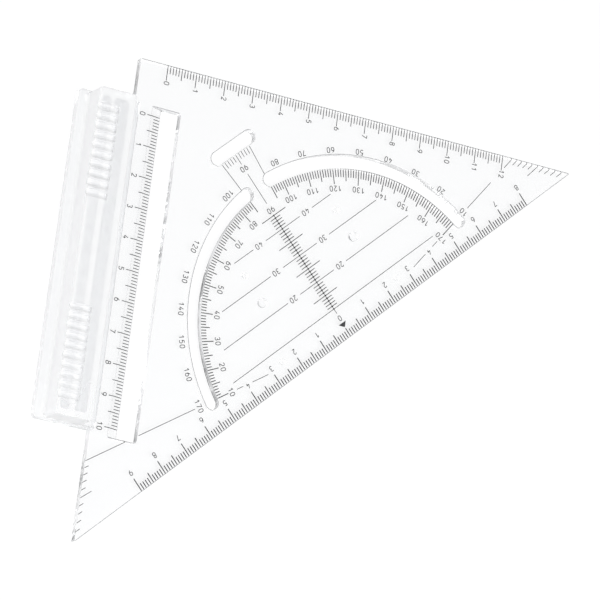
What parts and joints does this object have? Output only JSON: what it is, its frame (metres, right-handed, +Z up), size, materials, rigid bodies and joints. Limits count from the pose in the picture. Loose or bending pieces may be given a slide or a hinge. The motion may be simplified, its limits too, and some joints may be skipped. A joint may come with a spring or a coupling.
{
  "type": "drafting triangle",
  "caption": "Clear right-angled set square with a protractor, a bevelled ruling slot and a push-on grip rail along one leg, for drawing lines and measuring lengths and angles.",
  "frame": {"origin": "on the table under the middle of the bounding box of the plate and the grip", "axes": "+X along the top leg from the right angle to the right-hand tip, +Y along the grip leg towards the right angle, +Z up out of the face that is read"},
  "size_m": [0.1722, 0.1538, 0.011],
  "materials": {
    "clear_plate": "clear polished moulded plastic",
    "clear_grip": "clear polished moulded plastic",
    "scale_ink": "matt grey-black printed ink"
  },
  "bodies": {
    "triangle": {"triangle_plate": "clear_plate"},
    "grip": {"grip": "clear_grip"}
  },
  "joints": [
    {"name": "grip_slide", "type": "slide", "parent": "triangle", "child": "grip", "axis": [0, 1, 0], "range_m": [-0.033, 0.0138]}
  ]
}
